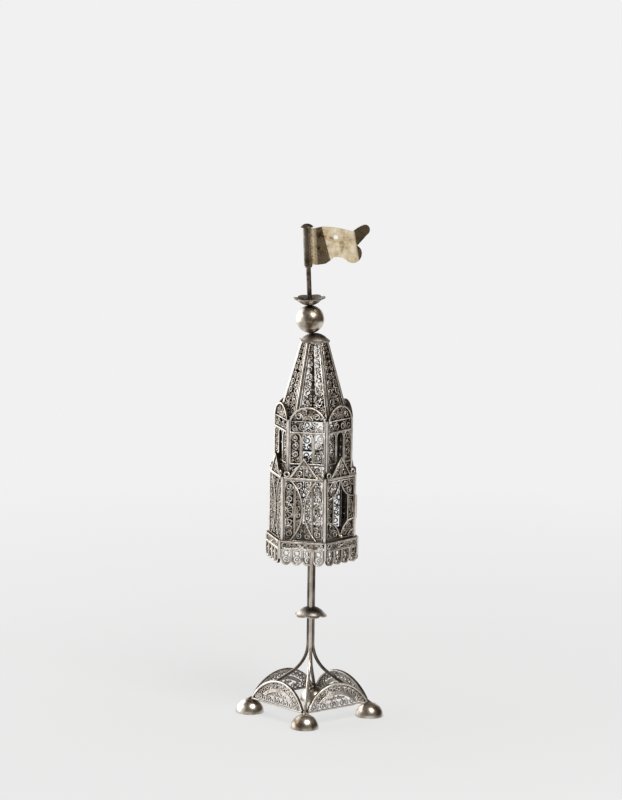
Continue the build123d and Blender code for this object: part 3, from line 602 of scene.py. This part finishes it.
def doorWires():
    p = doorPanel
    half, tall = p["half"], p["height"]
    edge = half - p["frame"] / 2
    wires = [border(edge, p["inset"], tall - p["inset"], p["frame"])]
    part = []
    for foot, way in ((0, 1), (tall, -1)):
        bow = arc(half, foot, p["bow"], 180, 180 - 90 * way, 18)
        part.append((bow, p["bowGauge"], False))
        part.append((arc(half, foot, p["fan"], 180, 180 - 90 * way, 8), p["fanGauge"], False))
        level = foot + p["rims"] * way
        cell = [(half - p["rims"], level), (half - p["bow"] + p["tip"], level)]
        cell += [(half + (x - half) * p["shrink"], foot + (y - foot) * p["shrink"]) for x, y in bow[3:-2]]
        part += curlCell(cell, p["fanCurls"], p["fine"], [(half, foot, p["fan"] + p["fanClear"])])
        turns = [180 - way * turn for turn in p["spokeTurns"]]
        part += spokes(half, foot, p["hub"], p["fan"], turns, p["spoke"])
    # bars beside the opening, with a strip of curls between bar and frame
    rise = math.sqrt(p["bow"] ** 2 - (half - p["bar"]) ** 2)
    part.append(straight(p["bar"], rise, p["bar"], tall - rise, p["barGauge"]))
    near, far = p["bar"] + p["stripClear"], edge - p["stripClear"]
    barEnd, frameEnd = p["stripEnds"]
    strip = [(near, rise + barEnd), (far, p["bow"] + frameEnd), (far, tall - p["bow"] - frameEnd),
             (near, tall - rise - barEnd)]
    part += curlCell(strip, p["stripCurls"], p["fine"])
    return wires + mirrored(part)


doorFiligree = makePanels("doorFiligree", doorWires(),
                          panelSettings(1, 6, wallPanels["turn"], wallPanels["radius"] * flat30,
                                        doorPanel["bottom"], inner=doorPanel["innerPaintedLight"]))

# gables with an eyelet at each end; scrolls are x, level over the rail and radius
gablePanels = {"level": 108.7, "rail": 1.0, "width": 12.8, "rise": 9.2, "innerPaintedLight": 0.4, "frame": 0.85,
               "footInset": 0.5, "peakInset": 0.75, "stem": 0.5, "stemTop": 1.2, "eyelet": 2.9,
               "eyeletGauge": 0.7, "eyeletSink": 0.2, "eyeletRim": 0.35,
               "scrolls": ((1.95, 1.75, 1.65), (1.0, 4.55, 0.95)), "scroll": 0.45, "fine": 0.4,
               "curls": (0.9, 0.34), "axisClear": 0.25, "footClear": 0.1, "endClear": 1.1, "peakClear": 1.9}


def gableWires():
    p = gablePanels
    rail, full, half = p["rail"], wallPanels["width"] / 2, p["width"] / 2
    top = rail + p["rise"]
    wires = [straight(-full, rail / 2, full, rail / 2, rail)]
    slopes = [(-half + p["footInset"], rail), (0, top - p["peakInset"]), (half - p["footInset"], rail)]
    wires.append((np.array(slopes), p["frame"], False))
    wires.append(straight(0, rail, 0, top - p["stemTop"], p["stem"]))
    eye = p["eyelet"] / 2
    part = [hoop((half + full) / 2, rail + eye - p["eyeletSink"], eye - p["eyeletRim"], p["eyeletGauge"])]
    taken = [(x, rail + y, radius) for x, y, radius in p["scrolls"]]
    part += [(curl(x, y, radius, 270, 1), p["scroll"], False) for x, y, radius in taken]
    axis, foot = p["axisClear"], rail + p["footClear"]
    cell = [(axis, foot), (half - p["endClear"], foot), (axis, top - p["peakClear"])]
    part += curlCell(cell, p["curls"], p["fine"], taken)
    return wires + mirrored(part)


gableFiligree = makePanels("gableFiligree", gableWires(),
                           panelSettings(6, 6, wallPanels["turn"], wallPanels["radius"] * flat30,
                                         gablePanels["level"], inner=gablePanels["innerPaintedLight"]))

# gallery: arched lights, frieze and lunette; the lunette's scroll is x, level and radius
galleryPanels = {"radius": 17.0, "turn": 9.6, "width": 15.9, "bottom": 109.7, "plinth": 6.2, "light": 13.2,
                 "frieze": 5.8, "lunette": 6.2, "mullion": 1.1, "frame": 0.55, "inset": 0.4, "rail": 0.75,
                 "sillDrop": 0.35, "arch": 0.6, "archClear": 0.2, "fine": 0.38, "lightCurls": (1.75, 0.42),
                 "corner": 0.5, "cornerClear": 0.5, "cornerCurls": (1.0, 0.3), "cornerTurn": 20,
                 "endCurls": (0.8, 0.3), "endTurn": 30, "endClear": 0.2, "endFoot": 1,
                 "axisClear": 0.1, "sideClear": 0.35, "friezeCurls": (1.95, 0.42), "friezeRims": 0.85,
                 "plinthCurls": (1.7, 0.42), "plinthRims": (0.9, 0.8), "fan": 2.2, "fanGauge": 0.42,
                 "fanRoom": 2.3, "hub": 0.7, "spokeTurns": (12, 34, 56, 78), "spoke": 0.36,
                 "scrollPlace": (4.0, 1.75, 1.6), "scrollRoom": 1.65, "scroll": 0.45,
                 "lunetteCurls": (1.1, 0.36), "lunetteAxis": 0.15, "lunetteFoot": 0.1, "lunetteEnd": 1.2,
                 "bowClear": 0.45, "peakClear": 0.9}


def galleryWires():
    p = galleryPanels
    inset = p["inset"]
    edge = p["width"] / 2 - p["frame"] / 2
    sill, head = p["plinth"], p["plinth"] + p["light"]
    top = head + p["frieze"]
    wires = [border(edge, inset, top - inset, p["frame"])]
    for level in (sill - p["sillDrop"], head + inset):
        wires.append(straight(-edge, level, edge, level, p["rail"]))
    bow = arcThrough((-edge, top - inset), (0, top + p["lunette"] - inset), (edge, top - inset), 28)
    wires.append((bow, p["rail"], False))
    light = (p["width"] - 2 * p["frame"] - 2 * p["mullion"]) / 3
    room, aside = light / 2, light + p["mullion"]
    spring, reach = head - room, room + p["archClear"]
    for x in (-aside, 0, aside):
        arch = [(x - reach, sill)] + list(arc(x, spring, reach, 180, 0, 12)) + [(x + reach, sill)]
        wires.append((np.array(arch), p["arch"], False))
    # the outer lights hold a column of scrolls, and small curls fill the corners over the arches
    cell = [(aside - room, sill), (aside + room, sill)] + list(arc(aside, spring, room, 0, 180, 10))
    part = curlCell(cell, p["lightCurls"], p["fine"])
    over, far = room + p["cornerClear"], edge - p["endClear"]
    cell = list(arc(0, spring, over, p["cornerTurn"], 90, 8))
    cell += list(arc(aside, spring, over, 90, 180 - p["cornerTurn"], 8))
    part += curlCell(cell, p["cornerCurls"], p["corner"])
    cell = list(arc(aside, spring, over, p["endTurn"], 90, 8))
    cell += [(far, spring + over), (far, spring + p["endFoot"])]
    part += curlCell(cell, p["endCurls"], p["corner"])
    # frieze under the eaves and plinth behind the gables
    near, far = p["axisClear"], edge - p["sideClear"]
    for low, high, curls in ((head + p["friezeRims"], top - p["friezeRims"], p["friezeCurls"]),
                             (p["plinthRims"][0], sill - p["plinthRims"][1], p["plinthCurls"])):
        part += curlCell([(near, low), (far, low), (far, high), (near, high)], curls, p["fine"])
    # lunette: half fan, a scroll at each side and small curls
    part.append((arc(0, top, p["fan"], 0, 90, 8), p["fanGauge"], False))
    part += spokes(0, top, p["hub"], p["fan"], p["spokeTurns"], p["spoke"])
    sx, sy, radius = p["scrollPlace"]
    part.append((curl(sx, top + sy, radius, 200, -1), p["scroll"], False))
    near, far, foot = p["lunetteAxis"], edge - p["lunetteEnd"], top + p["lunetteFoot"]
    cell = [(near, foot), (far, foot)] + [(x, y - p["bowClear"]) for x, y in bow[::-1] if near < x < far]
    cell.append((near, top + p["lunette"] - p["peakClear"]))
    taken = [(0, top, p["fanRoom"]), (sx, top + sy, p["scrollRoom"])]
    part += curlCell(cell, p["lunetteCurls"], p["fine"], taken)
    return wires + mirrored(part)


galleryFiligree = makePanels("galleryFiligree", galleryWires(),
                             panelSettings(6, 6, galleryPanels["turn"], galleryPanels["radius"] * flat30,
                                           galleryPanels["bottom"]))

# spire: six leaning panels
spirePanels = {"radius": 14.6, "topRadius": 5.4, "height": 33.0, "turn": 16.5, "bottom": 134.9, "rib": 1.1,
               "ribClear": 0.1, "frame": 0.6, "inset": 0.5, "fine": 0.38, "curls": (1.85, 0.42),
               "axisClear": 0.15, "sideClear": 0.35, "rims": 0.9}
spireInward = (spirePanels["radius"] - spirePanels["topRadius"]) * flat30
spireLean = math.degrees(math.atan2(spireInward, spirePanels["height"]))


def spireWires():
    p = spirePanels
    slant = math.hypot(spireInward, p["height"])
    clear = p["rib"] / 2 + p["ribClear"]
    wide, narrow = p["radius"] / 2 - clear, p["topRadius"] / 2 - clear
    slope = (wide - narrow) / slant

    def edge(level, back=0.0):
        return wide - slope * level - p["frame"] / 2 - back

    low, high = p["inset"], slant - p["inset"]
    wires = [loop([(-edge(low), low), (edge(low), low), (edge(high), high), (-edge(high), high)], p["frame"])]
    low, high, axis, back = p["rims"], slant - p["rims"], p["axisClear"], p["sideClear"]
    cell = [(axis, low), (edge(low, back), low), (edge(high, back), high), (axis, high)]
    return wires + mirrored(curlCell(cell, p["curls"], p["fine"]))


spireFiligree = makePanels("spireFiligree", spireWires(),
                           panelSettings(6, 6, spirePanels["turn"], spirePanels["radius"] * flat30,
                                         spirePanels["bottom"], spireLean))

# hinge barrel and strap of the door leaf
doorHinge = {"barrel": 1.3, "pin": 0.7, "clearance": 0.05, "length": 4.8, "facets": 24, "strapWidth": 0.9,
             "strapDepth": 0.6, "strapOffset": 0.85}


def makeDoorHinge():
    h = doorHinge
    shape = bmesh.new()
    outer, inner = h["barrel"] / 2 * mm, (h["pin"] / 2 + h["clearance"]) * mm
    long = h["length"] / 2 * mm
    turns = np.linspace(0, 2 * math.pi, h["facets"] + 1)[:-1]
    rings = []
    for radius, level in ((inner, -long), (outer, -long), (outer, long), (inner, long)):
        rings.append([shape.verts.new((radius * math.cos(a), radius * math.sin(a), level)) for a in turns])
    for a, b in zip(rings, rings[1:] + rings[:1]):
        for i in range(h["facets"]):
            shape.faces.new((a[i], a[i - 1], b[i - 1], b[i]))
    bmesh.ops.recalc_face_normals(shape, faces=shape.faces)
    axis = Matrix.Translation(joints["door_swing"]["pos_m"])
    shape.transform(axis)
    offset = Matrix.Translation((-h["strapOffset"] * mm, h["strapOffset"] * mm, 0))
    strap = axis @ Matrix.Rotation(math.radians(wallPanels["turn"]), 4, "Z") @ offset
    size = Matrix.Diagonal((h["strapWidth"] * mm, h["strapDepth"] * mm, h["length"] * mm, 1))
    bmesh.ops.create_cube(shape, size=1.0, matrix=strap @ size)
    mesh = bpy.data.meshes.new("doorHinge")
    shape.to_mesh(mesh)
    shape.free()
    mesh.materials.append(wire)
    piece = bpy.data.objects.new("doorHinge", mesh)
    bpy.context.collection.objects.link(piece)
    return piece


doorBarrel = makeDoorHinge()
print("panels made")

# finishes of the CAD pieces, by the start of their names; the longest that fits is taken
finishes = {
    "foot_": polished, "ball": polished, "leg_rod": shadedSideRod, "leg_rod_front_left": frontRod,
    "skirt_posts": wire, "wall_posts": wire, "gallery_posts": wire, "spire_ribs": wire,
    "stem_knop": knopPetals, "spire_cap": capPetals, "calyx": calyxPetals,
    "floor_plate": dark, "terrace": dark, "roof_plate": dark, "mast": dark, "flag_cap": dark,
    "flag": flagGilt, "door_knob": knobGilt, "door_knuckles": wire, "door_pin": wire,
}
for nodeName, node in frame["nodes"].items():
    for key in sorted(finishes, key=len, reverse=True):
        if nodeName.startswith(key):
            node.data.materials.clear()
            node.data.materials.append(finishes[key])
            break

numbered = [str(i + 1) for i in range(6)]
replaced = (
    (baseFiligree, "tower", ["base_panel_" + s for s in ("front", "right", "back", "left")]),
    (skirtFiligree, "tower", ["skirt_panel_" + i for i in numbered]),
    (wallFiligree, "tower", ["wall_panel_" + i for i in numbered[:5]]),
    (doorFiligree, "door", ["door_leaf"]),
    (gableFiligree, "tower", ["gable_" + i for i in numbered]),
    (galleryFiligree, "tower", ["gallery_panel_" + i for i in numbered]),
    (spireFiligree, "tower", ["spire_panel_" + i for i in numbered]),
)
for piece, body, nodes in replaced:
    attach(piece, body)
    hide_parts(*nodes)
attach(doorBarrel, "door")
print("pieces dressed")

# camera at the photograph's angle
view = {"azimuth": -40.5493, "elevation": 11.8611, "roll": 0.8119, "focalPixels": 6999.0, "distance": 3.072,
        "aimLevel": 0.110, "aimPixel": (312.891, 470.008), "image": (622, 800), "clipEnd": 20}


# a direction from the object, turned round the axis and raised, in degrees
def outward(turn, climb):
    a, e = math.radians(turn), math.radians(climb)
    return Vector((math.sin(a) * math.cos(e), -math.cos(a) * math.cos(e), math.sin(e)))


def makeCamera():
    (wide, tall), focal = view["image"], view["focalPixels"]
    back = outward(view["azimuth"], view["elevation"])
    data = bpy.data.cameras.new("camera")
    data.lens = focal / tall * data.sensor_width
    data.clip_end = view["clipEnd"]
    camera = bpy.data.objects.new("camera", data)
    bpy.context.collection.objects.link(camera)
    camera.location = Vector((0, 0, view["aimLevel"])) + back * view["distance"]
    roll = Matrix.Rotation(math.radians(view["roll"]), 3, "Z")
    tilt = Matrix.Rotation(math.atan((view["aimPixel"][1] - tall / 2) / focal), 3, "X")
    pan = Matrix.Rotation(math.atan((view["aimPixel"][0] - wide / 2) / focal), 3, "Y")
    aimed = (-back).to_track_quat("-Z", "Y").to_matrix()
    camera.rotation_euler = (aimed @ roll @ tilt @ pan).to_euler()
    bpy.context.scene.camera = camera


makeCamera()

# studio: pale floor, two soft lamps, a dark canopy for the metal; sides are in degrees right of the camera
studio = {"floor": "#a6a5a4", "floorSize": 8, "floorGlow": 0.72, "glowReach": (0.05, 0.5),
          "background": "#f1f1f1", "ambient": 0.55, "canopyRadius": 0.62, "canopyFoot": 0.12,
          "canopyTone": "#6a6057", "darkSide": (55, 135), "darkTop": 0.25, "darkTone": "#3d362f",
          "openSide": (-140, -50), "openTop": 0.45, "backHalf": 40, "backTop": 0.3, "lampAim": 0.10,
          "lamps": {"left": {"turn": 122, "climb": 28, "distance": 0.5, "size": 0.85, "power": 4.6},
                    "right": {"turn": -32, "climb": 50, "distance": 0.5, "size": 0.22, "power": 2.6}}}


# 1 where the eye sees a surface, straight or by way of metal or glass
def seenByEye(tree):
    path = addNode(tree, "ShaderNodeLightPath").outputs
    seen = path["Is Camera Ray"]
    for ray in ("Is Glossy Ray", "Is Transmission Ray"):
        seen = addNode(tree, "ShaderNodeMath", links={0: seen, 1: path[ray]}, operation="MAXIMUM").outputs[0]
    return seen


def makeWorld():
    world = bpy.data.worlds.new("studio")
    bpy.context.scene.world = world
    world.use_nodes = True
    tree = world.node_tree
    tree.nodes.clear()
    lit = addNode(tree, "ShaderNodeBackground", {"Color": (1, 1, 1, 1), "Strength": studio["ambient"]})
    pale = addNode(tree, "ShaderNodeBackground", {"Color": hexColour(studio["background"]), "Strength": 1.0})
    mix = addNode(tree, "ShaderNodeMixShader",
                  links={0: seenByEye(tree), 1: lit.outputs[0], 2: pale.outputs[0]})
    addNode(tree, "ShaderNodeOutputWorld", links={"Surface": mix.outputs[0]})


# painted floor that keeps the shadow near the object and fades to the background
def makeFloor():
    bpy.ops.mesh.primitive_plane_add(size=studio["floorSize"], location=(0, 0, 0))
    floor = bpy.context.object
    floor.name = "floor"
    material = bpy.data.materials.new("paleFloor")
    material.use_nodes = True
    tree = material.node_tree
    tree.nodes.clear()
    place = addNode(tree, "ShaderNodeTexCoord").outputs["Object"]
    away = addNode(tree, "ShaderNodeVectorMath", links={0: place}, operation="LENGTH")
    near, far = studio["glowReach"]
    share = addNode(tree, "ShaderNodeMapRange",
                    {"From Min": near, "From Max": far, "To Min": studio["floorGlow"], "To Max": 1.0},
                    {"Value": away.outputs["Value"]})
    glow = addNode(tree, "ShaderNodeMath", links={0: seenByEye(tree), 1: share.outputs[0]},
                   operation="MULTIPLY")
    paint = addNode(tree, "ShaderNodeBsdfDiffuse", {"Color": hexColour(studio["floor"])})
    light = addNode(tree, "ShaderNodeEmission", {"Color": hexColour(studio["background"]), "Strength": 1.0})
    mix = addNode(tree, "ShaderNodeMixShader",
                  links={0: glow.outputs[0], 1: paint.outputs[0], 2: light.outputs[0]})
    addNode(tree, "ShaderNodeOutputMaterial", links={"Surface": mix.outputs[0]})
    floor.data.materials.append(material)


# dark cloth over the set, seen only in the metal; it is open at the back and on the left
def makeCanopy():
    s = studio
    shape = bmesh.new()
    bmesh.ops.create_uvsphere(shape, u_segments=48, v_segments=24, radius=s["canopyRadius"])
    back = math.radians(view["azimuth"] + 90)
    gone = []
    for face in shape.faces:
        spot = face.calc_center_median()
        turn = math.degrees((math.atan2(spot.y, spot.x) - back + math.pi) % (2 * math.pi) - math.pi)
        right = turn + 180 if turn < 0 else turn - 180
        dimmed = s["darkSide"][0] < right < s["darkSide"][1]
        face.material_index = 1 if dimmed and spot.z < s["darkTop"] else 0
        below = spot.z < (0 if dimmed else s["canopyFoot"])
        behind = abs(turn) < s["backHalf"] and spot.z < s["backTop"]
        aside = s["openSide"][0] < right < s["openSide"][1] and spot.z < s["openTop"]
        if below or behind or aside:
            gone.append(face)
    bmesh.ops.delete(shape, geom=gone, context="FACES")
    mesh = bpy.data.meshes.new("canopy")
    shape.to_mesh(mesh)
    shape.free()
    canopy = bpy.data.objects.new("canopy", mesh)
    bpy.context.collection.objects.link(canopy)
    for name, tone in (("greyCloth", s["canopyTone"]), ("darkCloth", s["darkTone"])):
        material = bpy.data.materials.new(name)
        material.use_nodes = True
        tree = material.node_tree
        tree.nodes.clear()
        cloth = addNode(tree, "ShaderNodeEmission", {"Color": hexColour(tone), "Strength": 1.0})
        addNode(tree, "ShaderNodeOutputMaterial", links={"Surface": cloth.outputs[0]})
        mesh.materials.append(material)
    canopy.visible_camera = False
    canopy.visible_diffuse = False
    canopy.visible_transmission = False
    canopy.visible_shadow = False


def makeLamps():
    for name, lamp in studio["lamps"].items():
        data = bpy.data.lights.new(name, "AREA")
        data.size = lamp["size"]
        data.energy = lamp["power"]
        light = bpy.data.objects.new(name, data)
        bpy.context.collection.objects.link(light)
        away = outward(view["azimuth"] - lamp["turn"], lamp["climb"])
        light.location = Vector((0, 0, studio["lampAim"])) + away * lamp["distance"]
        light.rotation_mode = "QUATERNION"
        light.rotation_quaternion = away.to_track_quat("Z", "Y")
        light.visible_camera = False


makeWorld()
makeFloor()
makeCanopy()
makeLamps()
bpy.context.scene.view_settings.view_transform = "Standard"
print("studio made")
